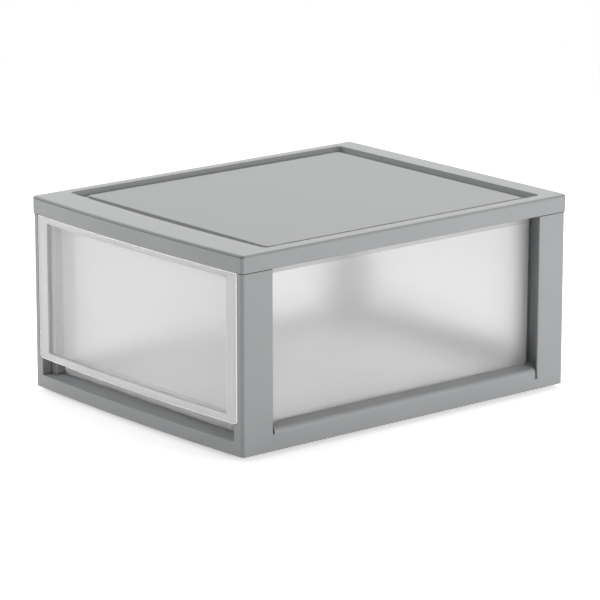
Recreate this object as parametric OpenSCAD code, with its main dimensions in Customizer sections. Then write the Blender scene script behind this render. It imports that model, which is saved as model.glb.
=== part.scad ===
// Stackable drawer box: a snapped-together frame with open sides, and a frosted drawer that
// slides out at the front. The front is slightly bowed in plan. Units are millimetres.
// X runs across the box, Y from front to back and Z up. The origin is at the middle of the
// footprint, on the surface that the box stands on.

/* [Overall size] */
// Width across the top panel
box_w = 398; // [360:1:440]
// Depth of the top panel along its sides
side_d = 494; // [440:1:540]
// How far the middle of the front stands out past its corners
bow = 6; // [4:0.5:8]
// Height from the lower edge of the side skins to the top
skin_h = 233; // [200:1:280]
// How far the locating rims reach below the skins
foot_h = 5; // [4:0.5:6]

/* [Mouldings] */
// Wall thickness of the frame mouldings
wall = 2.5; // [2.2:0.1:2.8]
// Thickness of the stiffening ribs
rib_t = 1.6; // [1.2:0.1:2]
// Radius of the upright outer corners
corner_r = 4; // [3.5:0.1:5]
// Clearance where one frame piece fits inside another
fit_gap = 0.3; // [0.2:0.05:0.4]

/* [Top panel] */
// Height of the skirt round the top panel
fascia_h = 21; // [19:0.5:26]
// Overhang of the skirt past the uprights
overhang = 1; // [0.6:0.1:1.5]
// Radius along the upper edge of the skirt
edge_r = 3; // [2:0.1:3.4]
// Flat border between the sides and the stacking groove
side_border = 15; // [14:0.5:18]
// Flat border between the middle of the front and the stacking groove
front_border = 45; // [43:0.5:47]
// Flat border between the back and the stacking groove
back_border = 29; // [27:0.5:30]
// Width of the stacking groove along the sides and the back
groove_w = 14.5; // [13.5:0.5:16]
// Width of the stacking groove at the middle of the front
front_groove_w = 20.5; // [18:0.5:21]
// Depth of the stacking groove
groove_depth = 8; // [7:0.5:9]
// Radius of the groove's corners
groove_r = 6; // [4:0.5:7]
// How far the middle of the panel lies below the border
centre_drop = 3.5; // [2.5:0.25:4]
// Stiffening ribs each way under the middle of the panel
top_ribs = 5; // [3:1:7]
// Depth of those ribs
top_rib_h = 8; // [5:0.5:9]

/* [Uprights] */
// Depth of the front uprights, seen from the side
front_post_d = 44; // [40:0.5:46]
// Depth of the rear uprights, seen from the side
rear_post_d = 42.5; // [40:0.5:46]
// Width of the rear uprights, seen from the back
rear_post_w = 60; // [50:0.5:70]
// Width of the front uprights beside the drawer front
strip_w = 9; // [8:0.5:10]
// Width of the front uprights under the drawer front
toe_w = 15; // [14:0.5:16]
// Distance from the side skins to the drawer's guide faces
guide_w = 25.5; // [25:0.5:27]
// Depth of the rebate that takes the drawer front
rebate_d = 13; // [12.5:0.1:14]
// Height of the seam between the top panel and the uprights
seam_h = 1; // [0.6:0.1:1.4]
// How far the uprights' tongues root into the uprights
tongue_root = 10; // [8:0.5:14]
// Distance between the shelves inside the uprights
shelf_pitch = 44; // [38:1:54]

/* [Base] */
// Height of the front sill and of the drawer's runners above the skins' lower edge
sill_h = 16; // [15:0.5:18]
// Height of the side rails above the skins' lower edge
rail_h = 25.5; // [24:0.5:28]
// Height of the straight part of the rails' rear ends
plinth_h = 12.5; // [11:0.5:14]
// Radius along the upper outer edge of the side rails, and round their rear ends
rail_edge_r = 6; // [4:0.5:7]
// Radius of the inner corner at the front end of the side rails
rail_front_r = 40; // [34:1:46]
// Radius of the inner corner at the rear end of the side rails
rail_rear_r = 22; // [18:1:24]
// Radius of the outer corner at the rear end of the side rails
rail_nose_r = 12; // [11.8:0.2:14]
// How far the side rails' rear ends reach behind the edge of the rear uprights
rail_nose = 4; // [3:0.5:4]
// Width of the runner flange that carries the drawer
runner_w = 24; // [20:1:28]
// Height of the rear rail above the skins' lower edge
rear_rail_h = 40; // [34:1:46]
// Clearance between a locating rim and the groove of the box below
stack_gap = 1.5; // [1:0.1:2]
// Distance between the cross ribs in the sill and the rails
rib_pitch = 56; // [46:1:70]
// Length of the tongues that join the side rails to the uprights
tongue_l = 16; // [12:0.5:20]

/* [Drawer] */
// Gap between the drawer and what is beside it
side_gap = 1.2; // [0.9:0.1:1.5]
// Gap over the drawer front
top_gap = 1; // [0.7:0.1:1.3]
// Gap under the drawer's skids, and behind the drawer front
slide_gap = 0.3; // [0.25:0.05:0.4]
// Height of the finger gap under the drawer front
finger_h = 21; // [20:0.5:24]
// How far the tub's front wall stands behind the middle of the drawer front
tub_setback = 19; // [18:0.25:20]
// Wall thickness of the tub
tub_wall = 2; // [1.8:0.1:2.2]
// Inward slope of the tub's walls over their height
draft = 1.2; // [0.8:0.1:1.6]
// Radius of the tub's upright corners at the bottom
tub_r = 14; // [13:0.5:16]
// Radius along the tub's bottom edges
tub_edge_r = 6; // [5:0.25:6.4]
// Space behind the tub, up to the back skin
tub_back_gap = 20.5; // [20:0.5:24]
// Distance from the skirt's lower edge down to the tub's rim
rim_drop = 7; // [6:0.5:9]
// Height of the lips along the tub's rim
lip_h = 6.5; // [5:0.5:8]
// How far those lips stand out from the tub
lip_w = 2; // [1.6:0.1:2]
// Height of the skids under the tub
skid_h = 2.2; // [2:0.1:2.6]
// How far the drawer slides out before its stop tabs meet the stop ribs
travel = 350; // [300:1:380]
// Height of the stop tabs above the rim
tab_h = 6; // [5:0.5:6.5]
// Width of a stop tab
tab_w = 16; // [12:1:24]

/* [Drawer front] */
// Width of the raised rim at the sides
rim_side_w = 17.5; // [14:0.5:19]
// Width of the raised rim along the bottom
rim_low_w = 8; // [7:0.5:9]
// Width of the raised rim along the top
rim_top_w = 7; // [6:0.5:8]
// How far the field lies behind the rim
field_depth = 4.5; // [3.5:0.25:5]
// Radius of the field's corners
field_r = 3.5; // [2.5:0.25:4.5]
// Wall thickness of the drawer front
front_wall = 2.2; // [2:0.1:2.4]
// Radius of the drawer front's lower corners
flange_r = 4; // [3:0.25:5]
// Distance from the middle of the drawer front to its clips
clip_x = 110; // [90:1:130]
// Width of a clip
clip_w = 12; // [9:0.5:15]

/* [Hidden] */

frame_colour = [0.64, 0.645, 0.65];
tub_colour = [0.93, 0.935, 0.94, 0.6];
panel_colour = [0.9, 0.91, 0.92, 0.6];

past = 1;            // how far a cutter runs past what it cuts
corner_step = 0.02;  // how far a front corner's round lies inside the bowed face beside it
corner_extra = 0.2;  // extra radius of the upper edge's round at the top panel's front corners
face_fn = 720;       // facets for the long front arc
round_fn = 48;       // facets for the small rounds

// Depths: the front face is an arc through the middle of the front and its two corners
y_front = -(side_d + bow) / 2;
y_corner = y_front + bow;
y_back = (side_d + bow) / 2;
face_r = round(5 * (pow(box_w / 2, 2) + pow(bow, 2)) / bow) / 10;
face_y = y_front + face_r;
y_rebate = y_corner + rebate_d;
y_front_post = y_corner + front_post_d;
y_rear_post = y_back - rear_post_d;
y_back_skin = y_back - overhang;

// Widths, measured from the middle
x_top = box_w / 2;
x_skin = x_top - overhang;
x_strip = x_skin - strip_w;
x_toe = x_skin - toe_w;
x_guide = x_skin - guide_w;
x_groove = x_top - side_border;
x_centre = x_groove - groove_w;
x_rear_post = x_top - rear_post_w;

// Heights
z_skin = foot_h;
z_top = foot_h + skin_h;
z_fascia = z_top - fascia_h;
z_post = z_fascia - seam_h;
z_under = z_top - wall;
z_centre = z_top - centre_drop;
z_groove = z_top - groove_depth;
z_sill = z_skin + sill_h;
z_rail = z_skin + rail_h;
z_plinth = z_skin + plinth_h;
z_rear_rail = z_skin + rear_rail_h;

// Stacking groove and the rims that drop into the one below
y_centre_front = y_front + front_border + front_groove_w;
y_centre_back = y_back - back_border - groove_w;
x_rim = x_groove - stack_gap;
front_rim_in = front_border + stack_gap;
y_rear_rim = y_back - back_border - stack_gap;

// Drawer front
z_flange = z_sill + finger_h;
z_flange_top = z_fascia - top_gap;
x_flange = x_strip - side_gap;
y_flange_back = y_rebate - slide_gap;
x_field = x_flange - rim_side_w;
z_field = z_flange + rim_low_w;
z_field_top = z_flange_top - rim_top_w;

// Tub
z_tub = z_sill + slide_gap + skid_h;
z_tub_rim = z_fascia - rim_drop;
tub_h = z_tub_rim - z_tub;
y_tub_front = y_front + overhang + tub_setback;
y_tub_back = y_back_skin - wall - tub_back_gap;
y_tub = (y_tub_front + y_tub_back) / 2;
tub_hx = x_guide - side_gap - lip_w - draft;
tub_hy = (y_tub_back - y_tub_front) / 2 - draft;
lip_end = 11;        // distance from the tub's back to the ends of its lips
y_lip = y_tub_back - lip_end;
skid_w = 4;          // width of a skid
skid_x = tub_hx - tub_edge_r - 1.5 * skid_w;
tab_in = 30;         // distance from a guide face to the middle of a stop tab
x_tab = x_guide - tab_in;
y_tab = y_tub_back - tab_h;
stop_clear = 0.5;    // play between a tab and its stop rib
y_stop = y_tab - travel - stop_clear;
z_stop = z_tub_rim + tab_h / 2;

// Clips that hold the drawer front to the tub: saddles over the rim, and barbed tongues below
lid_r = 1;           // radius of the drawer front's upper corners
clip_t = 2;          // thickness of a clip's leg
clip_grip = 4;       // how far a leg reaches down behind the tub's front wall
clip_clear = 0.5;    // clearance of the clips behind the wall and in its slots
barb = 1.2;          // height of a tongue's barb
barb_l = 2.4;        // length of a barb

// Tongues of the side rails
tongue_in = 6;       // distance from the guide face to a tongue
tongue_grip = 12;    // how far a tongue reaches back into its rail

// Catches on the uprights' tongues, and their pockets in the skirt
catch_l = 14;
catch_h = 4;
catch_d = 0.8;
catch_flat = 1;      // height of a catch's straight part
catch_in = 12;       // distance from a front upright's back to the middle of its catch
catch_back = 24;     // distance from a rear upright's front to the middle of its catch
z_catch = z_fascia + 2 * catch_h;
y_catch = [y_front_post - catch_in, y_rear_post + catch_back];
tongue_r = 2;        // radius of the corner tongues

// Centre panel: its corner radius inside the groove
centre_r = groove_r - wall / 2;

// Rear frame
post_lip = 10;       // depth of the lip along the inner edge of a rear upright
riser_gap = 4;       // space between the tub and the riser behind it
box_in = 6;          // distance from an upright to the end of the rail's high part
x_box = x_rear_post - box_in;
y_rear_shelf = y_rear_rim - 2 * wall;
y_riser = y_tub_back + riser_gap;
y_foot = y_rear_post + rail_nose + fit_gap;

// Shelves inside the uprights
shelf_n = floor((z_post - z_rear_rail) / shelf_pitch);
function shelf_z(i) = z_rear_rail + (i + 0.5) * (z_post - z_rear_rail) / (shelf_n + 1);

// ---- Outlines with the bowed front ----

// A length kept to a thousandth of a millimetre
function mm(v) = round(1000 * v) / 1000;

// Y of the bowed front set in by f, at distance x from the middle
function arc_y(x, f) = mm(face_y - sqrt(pow(face_r - f, 2) - pow(x, 2)));

// Y of a rounded corner's centre, for a corner of radius r between the bowed front
// set in by f and the side set in by s
function corner_y(s, f, r) =
    mm(face_y - sqrt(pow(face_r - f - r, 2) - pow(x_top - s - r, 2)));

// Direction from the centre of the front arc to that corner's centre
function corner_dir(s, f, r) =
    [x_top - s - r, corner_y(s, f, r) - face_y] / (face_r - f - r);

// Block behind the bowed front: s is the inset at the sides, f the inset at the front
module bowed_block(s, f, y1, z0, z1) {
    intersection() {
        translate([-x_top + s, y_front - past, z0])
            cube([box_w - 2 * s, y1 - y_front + past, z1 - z0]);
        translate([0, face_y, z0])
            cylinder(r = face_r - f, h = z1 - z0, $fn = face_fn);
    }
}

// Plan of the wedge at a front corner, from its centre to the two points where its round ends
module corner_wedge(s, f, r) {
    reach = 3 * r;
    u = corner_dir(s, f, r);
    w = [mm(reach * u[0]), mm(reach * u[1])];
    polygon([[0, 0], w, w + [reach, 0], [reach, 0]]);
}

// What comes off the two front corners to round them
module front_corner_cuts(s, f, r, z0, z1) {
    for (m = [0, 1])
        mirror([m, 0, 0])
            translate([x_top - s - r, corner_y(s, f, r), z0 - past])
                linear_extrude(z1 - z0 + 2 * past)
                    difference() {
                        corner_wedge(s, f, r);
                        translate([corner_step, 0])
                            circle(r - corner_step, $fn = round_fn);
                    }
}

// What comes off the two back corners to round them
module back_corner_cuts(x, y, r, z0, z1) {
    for (m = [0, 1])
        mirror([m, 0, 0])
            translate([x - r, y - r, z0 - past])
                linear_extrude(z1 - z0 + 2 * past)
                    difference() {
                        square(2 * r);
                        circle(r, $fn = round_fn);
                    }
}

// Block behind the bowed front with all four corners rounded
module rounded_block(s, f, y1, r, z0, z1) {
    difference() {
        bowed_block(s, f, y1, z0, z1);
        front_corner_cuts(s, f, r, z0, z1);
        back_corner_cuts(x_top - s, y1, r, z0, z1);
    }
}

// Section of the waste above a rounded edge, with the round's centre at the origin
module edge_waste(r) {
    difference() {
        square(r + past);
        circle(r, $fn = round_fn);
    }
}

// The wedge at a front corner of the top panel, as high as its rounded edge
module top_corner_wedges(r) {
    for (m = [0, 1])
        mirror([m, 0, 0])
            translate([x_top - corner_r, corner_y(0, 0, corner_r), z_top - 2 * r])
                linear_extrude(4 * r)
                    corner_wedge(0, 0, corner_r);
}

// What comes off to round the upper edge all the way round the top panel
module top_edge_cuts(r) {
    s = corner_r;
    x = x_top - s;
    y = corner_y(0, 0, s);
    // along the bowed front
    difference() {
        intersection() {
            translate([0, face_y, z_top - r])
                rotate_extrude($fn = face_fn)
                    translate([face_r - r, 0])
                        edge_waste(r);
            translate([-x_top, y_front - past, z_top - 2 * r])
                cube([box_w, y - y_front + past, 4 * r]);
        }
        top_corner_wedges(r);
    }
    // round the front corners, a hair fuller than along the edges
    q = r + corner_extra;
    intersection() {
        for (m = [0, 1])
            mirror([m, 0, 0])
                translate([x + corner_step, y, z_top - q])
                    rotate_extrude($fn = round_fn)
                        translate([s - corner_step - q, 0])
                            edge_waste(q);
        top_corner_wedges(r);
    }
    // along the sides, round the back corners and along the back
    for (m = [0, 1])
        mirror([m, 0, 0]) {
            translate([x_top - r, y_back - s, z_top - r])
                rotate([90, 0, 0])
                    linear_extrude(y_back - s - y)
                        edge_waste(r);
            translate([x, y_back - s, z_top - r])
                rotate_extrude(angle = 90, $fn = round_fn)
                    translate([s - r, 0])
                        edge_waste(r);
        }
    translate([x, y_back - r, z_top - r])
        rotate([90, 0, -90])
            linear_extrude(2 * x)
                mirror([1, 0])
                    edge_waste(r);
}

// ---- Top panel ----

// Outline of the stacking groove's outer side, grown by g
module groove_block(g, z0, z1) {
    rounded_block(side_border - g, front_border - g, y_back - back_border + g, groove_r + g, z0, z1);
}

// Raised middle of the panel, shrunk by g
module centre_block(g, z0, z1) {
    y0 = y_centre_front + g;
    y1 = y_centre_back - g;
    difference() {
        translate([-x_centre + g, y0, z0])
            cube([2 * (x_centre - g), y1 - y0, z1 - z0]);
        back_corner_cuts(x_centre - g, y1, centre_r, z0, z1);
        mirror([0, 1, 0])
            back_corner_cuts(x_centre - g, -y0, centre_r, z0, z1);
    }
}

// Crossed ribs under the middle of the panel
module top_rib_grid() {
    z0 = z_centre - wall - top_rib_h;
    h = top_rib_h + wall / 2;
    w = 2 * x_centre - wall;
    d = y_centre_back - y_centre_front - wall;
    y0 = y_centre_front + wall / 2;
    for (i = [1 : top_ribs]) {
        translate([w * (i / (top_ribs + 1) - 1 / 2) - rib_t / 2, y0, z0])
            cube([rib_t, d, h]);
        translate([-w / 2, y0 + d * i / (top_ribs + 1) - rib_t / 2, z0])
            cube([w, rib_t, h]);
    }
}

// Short ribs between the skirt and the groove's outer wall
module border_ribs() {
    z0 = z_groove - wall;
    h = z_under - z0 + wall / 2;
    d = side_d - front_border - back_border - 2 * groove_r;
    n = floor(d / (2 * rib_pitch));
    for (m = [0, 1], i = [-n : n])
        mirror([m, 0, 0])
            translate([x_groove + wall / 2, i * d / (2 * n + 1) - rib_t / 2, z0])
                cube([side_border - wall, rib_t, h]);
    nx = floor((x_centre - tab_w) / rib_pitch);
    for (i = [-nx : nx])
        translate([i * rib_pitch - rib_t / 2, y_corner, z0])
            cube([rib_t, front_border - wall - bow / 2, h]);
    for (i = [-nx : nx])
        translate([i * rib_pitch - rib_t / 2, y_back - back_border + wall / 2, z0])
            cube([rib_t, back_border - wall - wall / 2, h]);
}

// Pockets in the skirt that the uprights' catches snap into
module catch_pockets() {
    for (m = [0, 1])
        mirror([m, 0, 0])
            for (y = y_catch)
                translate([x_top - wall - past, y - catch_l / 2 - fit_gap, z_catch - fit_gap])
                    cube([past + catch_d + fit_gap, catch_l + 2 * fit_gap, catch_h + 2 * fit_gap]);
}

module top_panel() color(frame_colour) {
    difference() {
        rounded_block(0, 0, y_back, corner_r, z_fascia, z_top);
        top_edge_cuts(edge_r);
        // hollow of the skirt, round the walls of the groove
        difference() {
            bowed_block(wall, wall, y_back - wall, z_fascia - past, z_under);
            groove_block(wall, z_groove - wall, z_under + past);
        }
        // stacking groove and the lower middle
        difference() {
            groove_block(0, z_groove, z_top + past);
            centre_block(0, z_groove - past, z_centre);
        }
        // hollow under the middle
        centre_block(wall, z_groove - wall - past, z_centre - wall);
        catch_pockets();
    }
    top_rib_grid();
    intersection() {
        border_ribs();
        difference() {
            bowed_block(wall / 2, wall / 2, y_back - wall / 2, z_fascia, z_top);
            groove_block(wall / 2, z_fascia - past, z_top + past);
        }
    }
    // ribs that the drawer's tabs stop against
    for (m = [0, 1])
        mirror([m, 0, 0])
            translate([x_tab - tab_w, y_stop - wall, z_stop])
                cube([2 * tab_w, wall, z_centre - wall / 2 - z_stop]);
}

// ---- Uprights ----

// Tongues that reach up from the uprights into the skirt, between y0 and y1
module post_tongues(y0, y1, x0) {
    i = wall + fit_gap;
    z0 = z_post - tongue_root;
    h = z_under - z0;
    intersection() {
        difference() {
            rounded_block(i, i, y_back - i, tongue_r, z0, z_under);
            bowed_block(i + wall, i + wall, y_back - i - wall, z0 - past, z_under + past);
        }
        for (m = [0, 1])
            mirror([m, 0, 0])
                translate([x0, y0, z0])
                    cube([x_top - x0, y1 - y0, h]);
    }
}

// Wedge-shaped catches on the tongues
module catches(y) {
    x = x_top - wall - fit_gap;
    for (m = [0, 1])
        mirror([m, 0, 0])
            translate([x, y + catch_l / 2, z_catch])
                rotate([90, 0, 0])
                    linear_extrude(catch_l)
                        polygon([[-wall / 2, 0], [catch_d, 0], [catch_d, catch_flat], [0, catch_h],
                                 [-wall / 2, catch_h]]);
}

// ---- Front frame: two uprights and the sill, in one moulding ----

// Opening for the drawer, wider in front where the drawer front closes it
module front_opening() {
    h = z_top - z_sill;
    translate([-x_toe, y_front - past, z_sill])
        cube([2 * x_toe, y_rebate - y_front + past, z_flange - z_sill]);
    difference() {
        translate([-x_strip, y_front - past, z_flange - side_gap])
            cube([2 * x_strip, y_rebate - y_front + past, h]);
        for (m = [0, 1])
            mirror([m, 0, 0])
                translate([x_strip, y_front - 2 * past, z_flange - side_gap])
                    rotate([-90, 0, 0])
                        linear_extrude(y_rebate - y_front + 4 * past)
                            difference() {
                                translate([-flange_r - side_gap, -flange_r - side_gap])
                                    square(flange_r + side_gap + past);
                                translate([-flange_r - side_gap, -flange_r - side_gap])
                                    circle(flange_r + side_gap, $fn = round_fn);
                            }
    }
    translate([-x_guide, y_front - past, z_sill])
        cube([2 * x_guide, y_front_post - y_front + 2 * past, h]);
}

// Hollows of the front uprights, open towards the back
module front_post_hollows() {
    z0 = z_skin + wall;
    for (m = [0, 1])
        mirror([m, 0, 0]) {
            intersection() {
                translate([x_strip + wall, y_front, z0])
                    cube([strip_w - 2 * wall, y_front_post - y_front + past, z_post - z0 + past]);
                bowed_block(overhang + wall, overhang + wall, y_front_post + past, z0, z_post + past);
            }
            intersection() {
                translate([x_toe + wall, y_front, z0])
                    cube([toe_w - 2 * wall, y_front_post - y_front, z_flange - side_gap - wall - z0]);
                bowed_block(overhang + wall, overhang + wall, y_front_post, z0, z_post);
            }
            translate([x_guide + wall, y_rebate + wall, z0])
                cube([guide_w - 2 * wall, front_post_d - rebate_d, z_post - z0 + past]);
        }
}

// Shelves that stiffen the front uprights
module front_shelves() {
    for (m = [0, 1])
        mirror([m, 0, 0])
            for (i = [0 : shelf_n])
                translate([x_guide + wall / 2, y_rebate + wall / 2, shelf_z(i)])
                    cube([guide_w - wall, front_post_d - rebate_d - 2 * wall, rib_t]);
}

// Hollow under the sill, behind its bowed skin
module sill_hollow() {
    intersection() {
        bowed_block(0, overhang + wall, y_front_post + past, z_skin - past, z_sill - wall);
        translate([-x_guide, y_front, z_skin - past])
            cube([2 * x_guide, side_d, sill_h - wall + past]);
    }
}

// Top of the sill behind the uprights: it reaches back to the front locating rim
module sill_top() {
    intersection() {
        bowed_block(0, wall, 0, z_sill - wall, z_sill);
        front_rim_band(wall);
    }
}

// Band across the front, from the bowed skin to the back of the front locating rim
module front_rim_band(f) {
    intersection() {
        difference() {
            bowed_block(0, f, 0, 0, z_sill);
            bowed_block(-past, front_rim_in + wall, past, -past, z_sill + past);
        }
        translate([-x_guide, y_front, 0])
            cube([2 * x_guide, side_d, z_sill]);
    }
}

// Rim that drops into the groove of the box below
module front_rim() {
    front_rim_band(front_rim_in);
}

// Cross ribs inside the sill
module sill_ribs() {
    n = floor((x_guide - wall) / rib_pitch);
    intersection() {
        for (i = [-n : n])
            translate([i * rib_pitch - rib_t / 2, y_front, z_skin + wall])
                cube([rib_t, side_d / 2, sill_h - wall]);
        difference() {
            bowed_block(0, overhang + wall / 2, 0, z_skin, z_sill - wall / 2);
            bowed_block(-past, front_rim_in + wall / 2, past, 0, z_sill);
        }
    }
}

module front_frame() color(frame_colour) {
    difference() {
        union() {
            difference() {
                rounded_front();
                front_opening();
                front_post_hollows();
                sill_hollow();
            }
            front_shelves();
            sill_top();
            front_rim();
            sill_ribs();
        }
        tongue_sockets(0);
    }
    difference() {
        post_tongues(y_front, y_front_post - wall, x_guide);
        front_opening();
    }
    catches(y_catch[0]);
}

// Outside of the front frame
module rounded_front() {
    difference() {
        bowed_block(overhang, overhang, y_front_post, z_skin, z_post);
        front_corner_cuts(overhang, overhang, corner_r, z_skin, z_post);
    }
}

// ---- Side rails ----

// Section of a rail across its outer edge, shrunk by g, with the edge at x = w
module rail_section(w, g) {
    r = rail_edge_r - g;
    z1 = z_rail - g;
    difference() {
        translate([0, z_skin - 2 * g])
            square([w, z1 - z_skin + 2 * g]);
        translate([w - r, z1 - r])
            edge_waste(r);
    }
}

// Round at an inner corner of a rail: what comes off, with the corner at the origin
module rail_corner_waste(r) {
    difference() {
        translate([-past, -past])
            square(r + past);
        translate([r, r])
            circle(r, $fn = 2 * round_fn);
    }
}

// Solid form of a rail, shrunk by g. Its edge round runs on round the rear end
module rail_form(g) {
    x0 = x_guide + g;
    x1 = x_skin - g;
    y0 = y_front_post + g;
    y1 = y_rear_post + rail_nose - g;
    rn = rail_nose_r - g;
    difference() {
        union() {
            translate([x0, y1 - rn, 0])
                rotate([90, 0, 0])
                    linear_extrude(y1 - rn - y0)
                        rail_section(x1 - x0, g);
            translate([x0, y1 - rn, 0])
                rotate([90, 0, 90])
                    linear_extrude(x1 - rn - x0)
                        rail_section(rn, g);
            translate([x1 - rn, y1 - rn, 0])
                rotate_extrude(angle = 90, $fn = round_fn)
                    rail_section(rn, g);
        }
        translate([x0, y0, -past])
            linear_extrude(z_top)
                rail_corner_waste(rail_front_r - g);
        translate([x0, y1, -past])
            linear_extrude(z_top)
                mirror([0, 1])
                    rail_corner_waste(rail_rear_r - g);
    }
    // outer skin beside the rounded front corner
    translate([x1 - wall, y0, z_skin - 2 * g])
        cube([wall, rail_front_r - g, z_rail - rail_edge_r - z_skin + 2 * g]);
}

// Length of outer skin under the rail's rounded nose, straight up to the rear upright
module rail_plinth() {
    l = rail_nose_r + rail_rear_r;
    translate([x_skin - wall, y_rear_post - l, z_skin])
        cube([wall, l, plinth_h]);
}

// Cross ribs under a rail
module rail_ribs() {
    n = floor((side_d - front_post_d - rear_post_d) / (2 * rib_pitch));
    intersection() {
        for (i = [-n : n])
            translate([x_guide, i * rib_pitch - rib_t / 2, z_skin + wall])
                cube([guide_w, rib_t, rail_h]);
        rail_form(wall / 2);
    }
}

// Tongues at both ends, which push into the uprights
module rail_tongues(g) {
    x0 = x_guide + tongue_in;
    x1 = x_skin - 2 * wall;
    z0 = z_skin + wall + fit_gap;
    h = plinth_h - 2 * wall;
    for (y = [y_front_post - tongue_l, y_rear_post - tongue_grip])
        translate([x0 - g, y - g, z0 - g])
            cube([x1 - x0 + 2 * g, tongue_l + tongue_grip + 2 * g, h + 2 * g]);
}

// Clearance for those tongues in the frame at end e: 0 is the front, 1 the rear
module tongue_sockets(e) {
    for (m = [0, 1])
        mirror([m, 0, 0])
            intersection() {
                rail_tongues(fit_gap);
                translate([0, e == 0 ? y_front : 0, 0])
                    cube([x_top, e == 0 ? -y_front : y_back, z_top]);
            }
}

module side_rail() {
    y0 = arc_y(x_guide, front_rim_in + wall) + fit_gap;
    y1 = y_rear_shelf - fit_gap;
    difference() {
        union() {
            rail_form(0);
            rail_plinth();
        }
        rail_form(wall);
    }
    rail_ribs();
    rail_tongues(0);
    // locating rim, clear of the tongues
    translate([x_rim - wall, y_front_post + rail_front_r, 0])
        cube([wall, y_rear_post - rail_rear_r - y_front_post - rail_front_r, z_rail - wall / 2]);
    // runner flange under the drawer
    translate([x_guide - runner_w, y0, z_sill - wall])
        cube([runner_w + wall, y1 - y0, wall]);
}

module left_side_rail() color(frame_colour) mirror([1, 0, 0]) side_rail();

module right_side_rail() color(frame_colour) side_rail();

// ---- Rear frame: two uprights and the rear rail, in one moulding ----

// L-shaped uprights
module rear_posts() {
    h = z_post - z_skin;
    d = y_back_skin - y_rear_post;
    for (m = [0, 1])
        mirror([m, 0, 0])
            difference() {
                translate([x_rear_post, y_rear_post, z_skin])
                    cube([x_skin - x_rear_post, d, h]);
                back_corner_cuts(x_skin, y_back_skin, corner_r, z_skin, z_post);
                translate([x_rear_post - past, y_rear_post - past, z_skin - past])
                    cube([x_skin - wall - x_rear_post + past, d - wall + past, h + 2 * past]);
            }
}

// Lip along the inner edge of each rear upright, shelves and foot
module rear_post_ribs() {
    x0 = x_guide + wall;
    for (m = [0, 1])
        mirror([m, 0, 0]) {
            translate([x_rear_post, y_back_skin - post_lip, z_skin])
                cube([wall, post_lip - wall / 2, z_post - z_skin]);
            for (i = [0 : shelf_n])
                translate([x0, y_riser + wall, shelf_z(i)])
                    cube([x_skin - wall / 2 - x0, y_back_skin - wall / 2 - y_riser - wall, rib_t]);
            difference() {
                translate([x_guide - wall / 2, y_foot, z_skin])
                    cube([guide_w, y_back_skin - wall / 2 - y_foot, wall]);
                translate([x_rim - wall - fit_gap, 0, z_skin - past])
                    cube([wall + 2 * fit_gap, y_rear_post + wall, wall + 2 * past]);
            }
        }
}

// Rear rail: shelf under the drawer, back skin and locating rim, open underneath
module rear_rail() {
    w = 2 * x_guide;
    d = y_back_skin - wall / 2 - y_riser;
    translate([-x_guide, y_rear_shelf, z_sill - wall])
        cube([w, y_riser + wall - y_rear_shelf, wall]);
    translate([-x_guide, y_back_skin - wall, z_skin])
        cube([w, wall, rear_rail_h]);
    translate([-x_guide, y_rear_rim - wall, 0])
        cube([w, wall, z_sill - wall / 2]);
    // high part between the uprights: riser, top and end walls
    translate([-x_box, y_riser, z_sill - wall])
        cube([2 * x_box, wall, z_rear_rail - z_sill + wall]);
    translate([-x_box, y_riser, z_rear_rail - wall])
        cube([2 * x_box, d, wall]);
    for (m = [0, 1])
        mirror([m, 0, 0]) {
            translate([x_box - wall, y_riser, z_sill - wall])
                cube([wall, d, z_rear_rail - z_sill + wall]);
            // low part up to the upright, closed at its end
            translate([x_box - wall, y_riser, z_sill - wall])
                cube([x_guide - x_box + wall, d, wall]);
            translate([x_guide - wall, y_riser, z_skin])
                cube([wall, d, sill_h]);
        }
    // cross ribs
    n = floor((x_guide - wall) / rib_pitch);
    for (i = [-n : n])
        translate([i * rib_pitch - rib_t / 2, y_rear_rim - wall / 2, z_skin + wall])
            cube([rib_t, y_back_skin - y_rear_rim, sill_h - wall - wall / 2]);
}

module rear_frame() color(frame_colour) {
    difference() {
        union() {
            rear_posts();
            rear_post_ribs();
            rear_rail();
        }
        tongue_sockets(1);
    }
    post_tongues(y_rear_post + wall, y_back, x_rear_post + 2 * wall);
    catches(y_catch[1]);
}

// ---- Drawer tub ----

// Half of the tub's section from its middle outwards: x is its half width at the bottom
module tub_side(x, r, h, slope) {
    square([x - r, h]);
    translate([x - r, r])
        circle(r, $fn = round_fn);
    polygon([[0, r], [x, r], [x + slope, h], [0, h]]);
}

// Tub-shaped block, set in by g from the outside and raised by floor f
module tub_block(g, f, h, slope) {
    rc = tub_r - g;
    re = tub_edge_r - g;
    cx = tub_hx - tub_r;
    cy = tub_hy - tub_r;
    translate([0, y_tub, z_tub + f]) {
        for (a = [0 : 90 : 270])
            translate([cx * (cos(a) - sin(a)), cy * (sin(a) + cos(a)), 0])
                rotate_extrude(angle = 90, start = a, $fn = round_fn)
                    tub_side(rc, re, h, slope);
        for (m = [0, 1]) {
            mirror([m, 0, 0])
                translate([0, cy, 0])
                    rotate([90, 0, 0])
                        linear_extrude(2 * cy)
                            tub_side(tub_hx - g, re, h, slope);
            mirror([0, m, 0])
                rotate([90, 0, 90])
                    translate([0, 0, -cx])
                        linear_extrude(2 * cx)
                            tub_side(tub_hy - g, re, h, slope);
        }
    }
}

// Lips along both sides of the tub's rim
module tub_lips() {
    x = tub_hx + draft + lip_w;
    y0 = y_tub_front + tub_r + draft;
    for (m = [0, 1])
        mirror([m, 0, 0])
            translate([x - tub_r, y0, z_tub_rim - lip_h])
                cube([tub_r, y_lip - y0, lip_h]);
}

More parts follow.
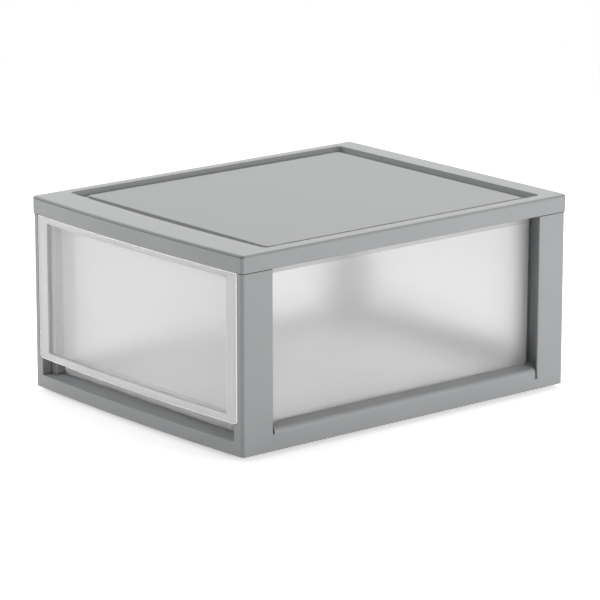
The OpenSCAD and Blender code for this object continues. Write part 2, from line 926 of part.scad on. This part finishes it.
// Slots in the front wall for the tongues of the drawer front
module tongue_slots() {
    for (x = [-clip_x, clip_x])
        translate([x - clip_w / 2 - clip_clear, y_tub_front - past, z_flange - clip_clear])
            cube([clip_w + 2 * clip_clear, tub_wall + draft + 2 * past, front_wall + barb + 2 * clip_clear]);
}

module drawer_tub() color(tub_colour) {
    difference() {
        union() {
            tub_block(0, 0, tub_h, draft);
            tub_lips();
        }
        tub_block(tub_wall, tub_wall, tub_h - tub_wall + past, draft);
        tongue_slots();
    }
    // skids that slide on the runners and the sill
    for (m = [0, 1])
        mirror([m, 0, 0])
            translate([skid_x - skid_w / 2, y_tub - tub_hy + tub_r, z_tub - skid_h])
                cube([skid_w, 2 * (tub_hy - tub_r), skid_h + tub_wall / 2]);
    // tabs that stop the drawer before it falls out
    for (m = [0, 1])
        mirror([m, 0, 0])
            translate([x_tab - tab_w / 2, y_tab, z_tub_rim - lip_h])
                cube([tab_w, tab_h, lip_h + tab_h]);
}

// ---- Drawer front ----

// Front view of a panel, half as wide as x, with corners rounded by r0 below and r1 above
module panel_view(x, z0, z1, r0, r1) {
    difference() {
        translate([-x, z0])
            square([2 * x, z1 - z0]);
        for (m = [0, 1])
            mirror([m, 0]) {
                translate([x - r0, z0 + r0])
                    rotate(-90)
                        edge_waste(r0);
                translate([x - r1, z1 - r1])
                    edge_waste(r1);
            }
    }
}

// Slab of that view with the bowed face, which lies f behind the skirt's, back to y1
module face_slab(f, y1, x, z0, z1, r0, r1) {
    intersection() {
        bowed_block(0, f, y1, z_skin, z_top);
        translate([0, y1 + past, 0])
            rotate([90, 0, 0])
                linear_extrude(y1 - y_front + 2 * past)
                    panel_view(x, z0, z1, r0, r1);
    }
}

// Slab of the field's view, grown by g
module field_slab(f, y1, g) {
    face_slab(f, y1, x_field + g, z_field - g, z_field_top + g, field_r + g, field_r + g);
}

// Saddles that sit on the tub's rim and reach down behind its front wall
module saddles() {
    y0 = y_flange_back - 2 * front_wall;
    y1 = y_tub_front + tub_wall + clip_clear;
    for (x = [-clip_x, clip_x])
        translate([x - clip_w / 2, 0, 0])
            rotate([90, 0, 90])
                linear_extrude(clip_w)
                    polygon([[y0, z_flange_top], [y1 + clip_t, z_flange_top],
                             [y1 + clip_t, z_tub_rim - clip_grip], [y1, z_tub_rim - clip_grip],
                             [y1, z_tub_rim], [y_tub_front, z_tub_rim],
                             [y_tub_front, z_flange_top - front_wall], [y0, z_flange_top - front_wall]]);
}

// Barbed tongues that reach through the tub's front wall
module tongues() {
    y0 = y_flange_back - 2 * front_wall;
    y1 = y_tub_front + draft + tub_wall + clip_clear;
    z0 = z_flange;
    z1 = z_flange + front_wall;
    for (x = [-clip_x, clip_x])
        translate([x - clip_w / 2, 0, 0])
            rotate([90, 0, 90])
                linear_extrude(clip_w)
                    polygon([[y0, z0], [y1 + barb_l, z0], [y1 + barb_l, z1], [y1, z1 + barb], [y1, z1],
                             [y0, z1]]);
}

module drawer_front() color(panel_colour) {
    y1 = y_flange_back;
    g = front_wall;
    difference() {
        face_slab(overhang, y1, x_flange, z_flange, z_flange_top, flange_r, lid_r);
        // field, set back from the rim
        difference() {
            field_slab(-past, y1 + past, 0);
            bowed_block(-past, overhang + field_depth, y_back, z_skin, z_top);
        }
        // hollow behind the rim, round the walls of the field
        difference() {
            face_slab(overhang + g, y1 + 2 * past, x_flange - g, z_flange + g, z_flange_top - g,
                      flange_r - g, lid_r);
            field_slab(-past, y1 + 3 * past, g);
        }
        // hollow behind the field
        field_slab(overhang + field_depth + g, y1 + past, 0);
    }
    saddles();
    tongues();
}

top_panel();
front_frame();
rear_frame();
left_side_rail();
right_side_rail();
drawer_tub();
drawer_front();
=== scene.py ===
import math

import bpy
from mathutils import Matrix, Vector


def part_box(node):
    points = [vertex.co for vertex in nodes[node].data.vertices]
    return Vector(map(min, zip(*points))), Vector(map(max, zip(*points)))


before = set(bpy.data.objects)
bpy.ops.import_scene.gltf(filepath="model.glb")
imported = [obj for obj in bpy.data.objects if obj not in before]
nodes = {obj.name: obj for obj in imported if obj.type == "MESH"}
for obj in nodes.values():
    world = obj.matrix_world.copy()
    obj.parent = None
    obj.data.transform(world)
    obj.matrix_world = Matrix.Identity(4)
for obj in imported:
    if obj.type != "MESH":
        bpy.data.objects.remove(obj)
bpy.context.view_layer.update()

# ---------------------------------------------------------------------------
# The frame: top panel, front frame, rear frame and two side rails.
# Five mouldings of one grey polypropylene with a fine satin texture, which snap together with
# tongues and catches. The texture comes from the mould, so it runs over every face.
# ---------------------------------------------------------------------------


class Shade:
    """One output of a node. Arithmetic on it adds Math nodes."""

    def __init__(self, finish, socket):
        self.finish = finish
        self.socket = socket

    def out(self, name):
        """Another output of the same node."""
        return Shade(self.finish, self.socket.node.outputs[name])

    def maths(self, operation, *values):
        return self.finish.node("Math", {"operation": operation}, *values)

    def __add__(self, other):
        return self.maths("ADD", self, other)

    def __radd__(self, other):
        return self.maths("ADD", other, self)

    def __sub__(self, other):
        return self.maths("SUBTRACT", self, other)

    def __rsub__(self, other):
        return self.maths("SUBTRACT", other, self)

    def __mul__(self, other):
        return self.maths("MULTIPLY", self, other)

    def __rmul__(self, other):
        return self.maths("MULTIPLY", other, self)

    def __abs__(self):
        return self.maths("ABSOLUTE", self)

    def either(self, other):
        """The larger of two masks."""
        return self.maths("MAXIMUM", self, other)

    def between(self, low, high):
        """0 below low, 1 above high, and a smooth ramp from one to the other."""
        return self.finish.node("MapRange", {"interpolation_type": "SMOOTHSTEP"},
                                Value=self, From_Min=low, From_Max=high)


class Finish:
    """The nodes of a material or of the surround, which all come from one method."""

    def __init__(self, owner):
        owner.use_nodes = True
        self.owner = owner
        self.tree = owner.node_tree
        self.tree.nodes.clear()

    def node(self, kind, settings=None, *values, output=None, **named):
        """Adds a node: first its settings, then its sockets, given in their order or by name."""
        made = self.tree.nodes.new("ShaderNode" + kind)
        for setting, value in (settings or {}).items():
            setattr(made, setting, value)
        sockets = [socket for socket in made.inputs if socket.enabled]
        fed = list(zip(sockets, values))
        for name, value in named.items():
            spoken = name.replace("_", " ")
            fed.append((next(socket for socket in sockets if socket.name == spoken), value))
        for socket, value in fed:
            if isinstance(value, Shade):
                self.tree.links.new(value.socket, socket)
            else:
                socket.default_value = value
        results = [socket for socket in made.outputs if socket.enabled and output in (None, socket.name)]
        return Shade(self, results[0]) if results else None

    def blend(self, share, first, second):
        """A mix of two colours."""
        return self.node("Mix", {"data_type": "RGBA"}, share, first, second)

    def surface(self, shader):
        """Ends the nodes of a material with a shader, and gives back the material."""
        self.node("OutputMaterial", Surface=shader)
        return self.owner


# How far easing turns the surface where an edge starts to show and where it shows in full, as 1
# less the cosine of the angle.
EDGE_TURN = (0.002, 0.12)


def eased_edges(finish, radius):
    """The surface direction with every sharp edge eased over radius, and a mask of those edges."""
    eased = finish.node("Bevel", {"samples": 6}, Radius=radius)
    flat = finish.node("NewGeometry", output="Normal")
    turned = 1 - finish.node("VectorMath", {"operation": "DOT_PRODUCT"}, eased, flat)
    return eased, turned.between(*EDGE_TURN)


def places(finish):
    """The point being shaded, and how far it lies across, deep and high in the box."""
    place = finish.node("TexCoord", output="Object")
    axes = finish.node("SeparateXYZ", Vector=place)
    return place, axes.out("X"), axes.out("Y"), axes.out("Z")


def mould_grain(finish, place):
    """The fine texture of the mould, 0.7 mm from one grain to the next."""
    return finish.node("TexNoise", Vector=place, Scale=1500.0, Detail=2.0, Roughness=0.6)


def coat(material, *pieces):
    """Gives pieces of the box their finish."""
    for piece in pieces:
        for slot in nodes[piece].material_slots:
            slot.material = material


TOP_LOW, TOP_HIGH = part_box("top_panel")
BORDER, SIDE, REAR, FACE = TOP_HIGH.z, TOP_HIGH.x, TOP_HIGH.y, TOP_LOW.y
BOW = 0.006


def behind_bow(across, deep):
    """How deep a point lies when the bow of the front is taken off."""
    return deep - across * across * (BOW / SIDE ** 2)


# The two ends of the ramps between tones: heights below the top's border, places in from its
# sides and its rear, and places behind its face.
MIDDLE_STARTS = (BORDER - 0.0043, BORDER - 0.0040)
LINE_STARTS = (BORDER - 0.0034, BORDER - 0.0031)
ROUND_STARTS = (BORDER - 0.0031, BORDER - 0.0025)
LINE_ENDS = (BORDER - 0.0021, BORDER - 0.0016)
BORDER_STARTS = (BORDER - 0.0006, BORDER - 0.0002)
SIDE_STARTS = (SIDE - 0.0040, SIDE - 0.0035)
REAR_STARTS = (REAR - 0.0040, REAR - 0.0035)
FACE_ENDS = (FACE + 0.0035, FACE + 0.0040)

# The seams under the top's skirt and round the drawer front, painted near-black as shade where their
# gap is shut: the ends of their ramps in height and depth, how near the walls of a gap stand, and the
# ramp from a shut gap to an open one.
SEAM_STARTS = (BORDER - 0.0245, BORDER - 0.0225)
SEAM_ENDS = (BORDER - 0.0208, BORDER - 0.0202)
SEAM_DEPTH = (FACE + 0.026, FACE + 0.030)
SEAM_REACH = 0.003
SEAM_OPEN = (0.25, 0.8)

GREY = (0.366, 0.373, 0.378, 1)
GREY_CLOUD = (0.380, 0.386, 0.391, 1)
GREY_MIDDLE = (0.360, 0.364, 0.366, 1)
# The round, the line and the seams are painted shade: darker greys that stand in for shade.
GREY_ROUND_SHADE = (0.285, 0.29, 0.295, 1)
GREY_LINE_SHADE = (0.17, 0.172, 0.174, 1)
GREY_BORDER = (0.39, 0.395, 0.399, 1)
# The near-black of the seams is painted shade.
GREY_SEAM_SHADE = (0.03, 0.03, 0.031, 1)
CLOUD_STARTS = (0.3, 0.7)

# The satin: its roughness, what the border and the edges are smoother by, what grain and clouds
# change it by, and the height of the grain, which is lower on the border, and of the ripples.
SATIN = 0.5
BORDER_SMOOTHER, EDGE_SMOOTHER = 0.14, 0.08
GRAIN_CHANGE, CLOUD_CHANGE = 0.07, 0.08
GRAIN_HEIGHT, RIPPLE_HEIGHT = 0.00004, 0.00005
GRAIN_OFF_BORDER = 1.25


def grey_plastic():
    """Satin grey with broad clouds. The top's middle and its border each have their own tone. The top's
    edge round, the line along the foot of that round in front and the seams carry painted shade."""
    finish = Finish(bpy.data.materials.new("grey_polypropylene"))
    place, across, deep, high = places(finish)
    eased, edge = eased_edges(finish, 0.0007)
    grain = mould_grain(finish, place)
    ripple = finish.node("TexNoise", Vector=place, Scale=55.0, Detail=1.0)
    cloud = finish.node("TexNoise", Vector=place, Scale=9.0, Detail=3.0)

    at_side = abs(across).between(*SIDE_STARTS)
    at_rear = deep.between(*REAR_STARTS)
    at_face = 1 - behind_bow(across, deep).between(*FACE_ENDS)
    middle = high.between(*MIDDLE_STARTS)
    round_shade = high.between(*ROUND_STARTS) * at_side.either(at_face.either(at_rear))
    line_shade = high.between(*LINE_STARTS) * (1 - high.between(*LINE_ENDS)) * at_face
    border = high.between(*BORDER_STARTS)

    gap = finish.node("AmbientOcclusion", {"samples": 8}, output="AO", Distance=SEAM_REACH)
    at_skirt = high.between(*SEAM_STARTS)
    in_front = 1 - deep.between(*SEAM_DEPTH)
    below_top = 1 - high.between(*SEAM_ENDS)
    seam_shade = (1 - gap.between(*SEAM_OPEN)) * at_skirt.either(in_front) * below_top

    tone = finish.blend(cloud.between(*CLOUD_STARTS), GREY, GREY_CLOUD)
    tone = finish.blend(middle, tone, GREY_MIDDLE)
    # Painted shade: the edge round, the line in front and the shut seams are darkened.
    tone = finish.blend(round_shade, tone, GREY_ROUND_SHADE)
    tone = finish.blend(line_shade, tone, GREY_LINE_SHADE)
    tone = finish.blend(border, tone, GREY_BORDER)
    tone = finish.blend(seam_shade, tone, GREY_SEAM_SHADE)
    rough = SATIN - BORDER_SMOOTHER * border - EDGE_SMOOTHER * edge
    rough = rough + GRAIN_CHANGE * (grain - 0.5) + CLOUD_CHANGE * (cloud - 0.5)
    relief = GRAIN_HEIGHT * grain * (GRAIN_OFF_BORDER - border) + RIPPLE_HEIGHT * ripple
    normal = finish.node("Bump", Strength=0.5, Distance=1.0, Height=relief, Normal=eased)
    return finish.surface(finish.node(
        "BsdfPrincipled", Base_Color=tone, Roughness=rough, Normal=normal,
        IOR=1.49, Specular_IOR_Level=0.42,
    ))


coat(grey_plastic(), "top_panel", "front_frame", "rear_frame", "left_side_rail", "right_side_rail")

# ---------------------------------------------------------------------------
# The drawer tub.
# One frosted, uncoloured polypropylene moulding with drafted walls and a lip along its sides. Its
# outside is finely textured, so what is behind it shows as a blur.
# ---------------------------------------------------------------------------

FROST = (0.962, 0.961, 0.962, 1)
FROST_THICK = (0.982, 0.981, 0.982, 1)
# The darker frost is painted shade for lines along edges, and the edge light is a painted highlight that
# edges give off though they are no lamp.
FROST_PAINTED_SHADE = (0.6, 0.6, 0.62, 1)
NO_LIGHT = (0, 0, 0, 1)
PAINTED_EDGE_HIGHLIGHT = (1.5, 1.5, 1.5, 1)
FLOW_STARTS = (0.3, 0.7)

# What grain and edges change the roughness by, what flow and edges change the milk by, and the
# height of the grain and of the flow.
FROST_GRAIN_CHANGE, FROST_EDGE_SMOOTHER = 0.06, 0.12
FLOW_MILK, EDGE_MILK = 0.05, 0.5
FROST_GRAIN_HEIGHT, FLOW_HEIGHT = 0.00002, 0.00005


def mixed(finish, share, first, second):
    """A mix of two shaders."""
    return finish.node("MixShader", None, share, first, second)


def frosted_plastic(finish, place, eased, edge, milk, shine, roughness, glow, painted_shade):
    """Rough see-through plastic. Milk is the share of white body in it, and shine the share of
    that body that is lit from behind. Glow sets a painted highlight that the plastic gives off along
    its edges though it is no lamp, and the darkened lines are painted shade."""
    grain = mould_grain(finish, place)
    flow = finish.node("TexNoise", Vector=place, Scale=14.0, Detail=2.0)
    tone = finish.blend(flow.between(*FLOW_STARTS), FROST, FROST_THICK)
    tone = finish.blend(painted_shade, tone, FROST_PAINTED_SHADE)
    rough = roughness + FROST_GRAIN_CHANGE * (grain - 0.5) - FROST_EDGE_SMOOTHER * edge
    relief = FROST_GRAIN_HEIGHT * grain + FLOW_HEIGHT * flow
    normal = finish.node("Bump", Strength=0.4, Distance=1.0, Height=relief, Normal=eased)
    clear = finish.node(
        "BsdfPrincipled", Base_Color=tone, Roughness=rough, Normal=normal,
        IOR=1.2, Transmission_Weight=0.88, Specular_IOR_Level=0.5,
    )
    white = finish.node(
        "BsdfPrincipled", Base_Color=tone, Roughness=rough, Normal=normal, IOR=1.45,
        Emission_Color=finish.blend(edge * glow, NO_LIGHT, PAINTED_EDGE_HIGHLIGHT), Emission_Strength=1.0,
    )
    lit_through = finish.node("BsdfTranslucent", Color=FROST, Normal=normal)
    body = mixed(finish, shine, white, lit_through)
    share = milk + FLOW_MILK * (flow - 0.5) + EDGE_MILK * edge
    return finish.surface(mixed(finish, share, clear, body))


TUB_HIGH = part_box("drawer_tub")[1]
LIP_STARTS = (TUB_HIGH.z - 0.0132, TUB_HIGH.z - 0.0124)
CORNER_STARTS = (TUB_HIGH.y - 0.0095, TUB_HIGH.y - 0.0025)
# The edge darkening is painted shade along the tub's edges.
THICK_MILK, LIP_SMOOTHER, EDGE_PAINTED_SHADE = 0.4, 0.1, 0.6


def tub_plastic():
    """The lip and the rear corners are whiter, because the light from the side passes through more
    plastic there."""
    finish = Finish(bpy.data.materials.new("frosted_tub"))
    place, _, deep, high = places(finish)
    eased, edge = eased_edges(finish, 0.0008)
    lip = high.between(*LIP_STARTS)
    corner = deep.between(*CORNER_STARTS)
    return frosted_plastic(
        finish, place, eased, edge, milk=0.2 + THICK_MILK * lip.either(corner), shine=0.75,
        roughness=0.29 - LIP_SMOOTHER * lip, glow=0.0, painted_shade=EDGE_PAINTED_SHADE * edge,
    )


coat(tub_plastic(), "drawer_tub")

# ---------------------------------------------------------------------------
# The drawer front.
# A second frosted moulding, bowed like the frame, which hangs over the rim of the tub's front wall
# and clips into slots low in it. Its raised rim is polished and its field is textured.
# ---------------------------------------------------------------------------

FRONT_LOW, FRONT_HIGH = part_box("drawer_front")
STEP_STARTS = (FRONT_LOW.y + 0.0015, FRONT_LOW.y + 0.0030)
RIM_SIDE, RIM_LOW, RIM_TOP = 0.0175, 0.0080, 0.0070
OUTER_SIDE, OUTER_LOW, OUTER_TOP = 0.0038, 0.0035, 0.0030
STRIP_SOFT = 0.0004
FIELD_MILK, FIELD_ROUGHER = 0.48, 0.09
# The glows set how strong the painted highlight is on the rim's edges and, added, on its outer edge.
RIM_HIGHLIGHT_GLOW, OUTER_HIGHLIGHT_GLOW = 0.25, 0.75


def within(across, high, side, low, top):
    """A mask of the drawer front without the strips along its sides, its foot and its top."""
    half = FRONT_HIGH.x - side
    foot = FRONT_LOW.z + low
    head = FRONT_HIGH.z - top
    inside = 1 - abs(across).between(half, half + STRIP_SOFT)
    above = high.between(foot - STRIP_SOFT, foot)
    below = 1 - high.between(head, head + STRIP_SOFT)
    return inside * above * below


def front_plastic():
    """A milky polished rim round a clearer, rougher field. The rim's edges glow with a painted
    highlight, most along its outer edge, and the foot of the step from the rim to the field is painted
    dark as shade."""
    finish = Finish(bpy.data.materials.new("frosted_front"))
    place, across, deep, high = places(finish)
    eased, edge = eased_edges(finish, 0.0012)
    field = within(across, high, RIM_SIDE, RIM_LOW, RIM_TOP)
    outer = 1 - within(across, high, OUTER_SIDE, OUTER_LOW, OUTER_TOP)
    raised = 1 - behind_bow(across, deep).between(*STEP_STARTS)
    return frosted_plastic(
        finish, place, eased, edge * raised, milk=0.62 - FIELD_MILK * field, shine=0.25,
        roughness=0.1 + FIELD_ROUGHER * field, glow=RIM_HIGHLIGHT_GLOW + OUTER_HIGHLIGHT_GLOW * outer,
        painted_shade=edge * (1 - raised),
    )


coat(front_plastic(), "drawer_front")

# ---------------------------------------------------------------------------
# The studio: a pale floor, a white surround, soft lamps and the camera.
# None of it is part of the box.
# ---------------------------------------------------------------------------

WHITE = (1, 1, 1, 1)
MATT_WHITE = (0.9, 0.9, 0.9, 1)
DAYLIGHT = (0.98, 0.99, 1.0, 1)
FLOOR_HALF, FLOOR_DROP = 8.0, 0.0002
FLOOR_FADES = (0.8, 2.2)
scene = bpy.context.scene


def white_to_camera(finish, seen, lighting):
    """The shader that the camera, gloss and see-through plastic meet, and the one that lights."""
    ray = finish.node("LightPath", output="Is Camera Ray")
    by_box = ray.out("Is Glossy Ray").either(ray.out("Is Transmission Ray"))
    return mixed(finish, ray.either(by_box), lighting, seen)


# Near the box the floor is matt and keeps its shadow, and far from it the floor is plain white.
mesh = bpy.data.meshes.new("floor")
corners = [(x * FLOOR_HALF, y * FLOOR_HALF, 0) for x, y in ((-1, -1), (1, -1), (1, 1), (-1, 1))]
mesh.from_pydata(corners, [], [(0, 1, 2, 3)])
floor = bpy.data.objects.new("floor", mesh)
floor.location.z = -FLOOR_DROP
scene.collection.objects.link(floor)
paint = Finish(bpy.data.materials.new("pale_floor"))
matt = paint.node("BsdfDiffuse", Color=MATT_WHITE)
glow = paint.node("Emission", Color=WHITE, Strength=0.55)
near_floor = paint.node("AddShader", None, matt, glow)
far_floor = paint.node("Emission", Color=WHITE, Strength=1.0)
away = paint.node("VectorMath", {"operation": "LENGTH"}, paint.node("TexCoord", output="Object"))
seen_floor = mixed(paint, away.between(*FLOOR_FADES), near_floor, far_floor)
mesh.materials.append(paint.surface(white_to_camera(paint, seen_floor, matt)))

scene.world = bpy.data.worlds.new("surround")
sky = Finish(scene.world)
sky_seen = sky.node("Background", Color=WHITE, Strength=1.0)
sky_light = sky.node("Background", Color=DAYLIGHT, Strength=0.27)
sky.node("OutputWorld", Surface=white_to_camera(sky, sky_seen, sky_light))


def softbox(name, place, target, size, watts):
    """A soft lamp that faces its target."""
    light = bpy.data.lights.new(name, "AREA")
    light.shape = "RECTANGLE"
    light.size, light.size_y = size
    light.energy = watts
    lamp = bpy.data.objects.new(name, light)
    lamp.location = place
    lamp.rotation_euler = (Vector(target) - Vector(place)).to_track_quat("-Z", "Y").to_euler()
    scene.collection.objects.link(lamp)


softbox("overhead", place=(-0.5, 0.85, 2.4), target=(0, 0, 0.1), size=(1.8, 1.8), watts=41)
softbox("left_fill", place=(-1.1, -1.3, 0.75), target=(0, 0, 0.08), size=(0.9, 0.9), watts=11)
softbox("right_fill", place=(1.6, 0.6, 0.5), target=(0, 0, 0.03), size=(0.8, 0.6), watts=11.5)

# The camera's place and angles, fitted to the box's corners, seams and straight edges.
AIM = Vector((0.002557, 0.001408, 0.109793))
AZIMUTH, RISE = math.radians(50.3944), math.radians(14.3045)
DISTANCE = 4.354
right = Vector((math.cos(AZIMUTH), math.sin(AZIMUTH), 0))
level = Vector((math.sin(AZIMUTH), -math.cos(AZIMUTH), 0))
back = level * math.cos(RISE) + Vector((0, 0, math.sin(RISE)))
up = back.cross(right)
lens = bpy.data.cameras.new("camera")
lens.sensor_width = 36
lens.lens = 218.86
lens.clip_end = 60
camera = bpy.data.objects.new("camera", lens)
turn = Matrix((right, up, back)).transposed().to_4x4()
camera.matrix_world = Matrix.Translation(AIM + DISTANCE * back) @ turn
scene.collection.objects.link(camera)
scene.camera = camera
scene.view_settings.view_transform = "Standard"
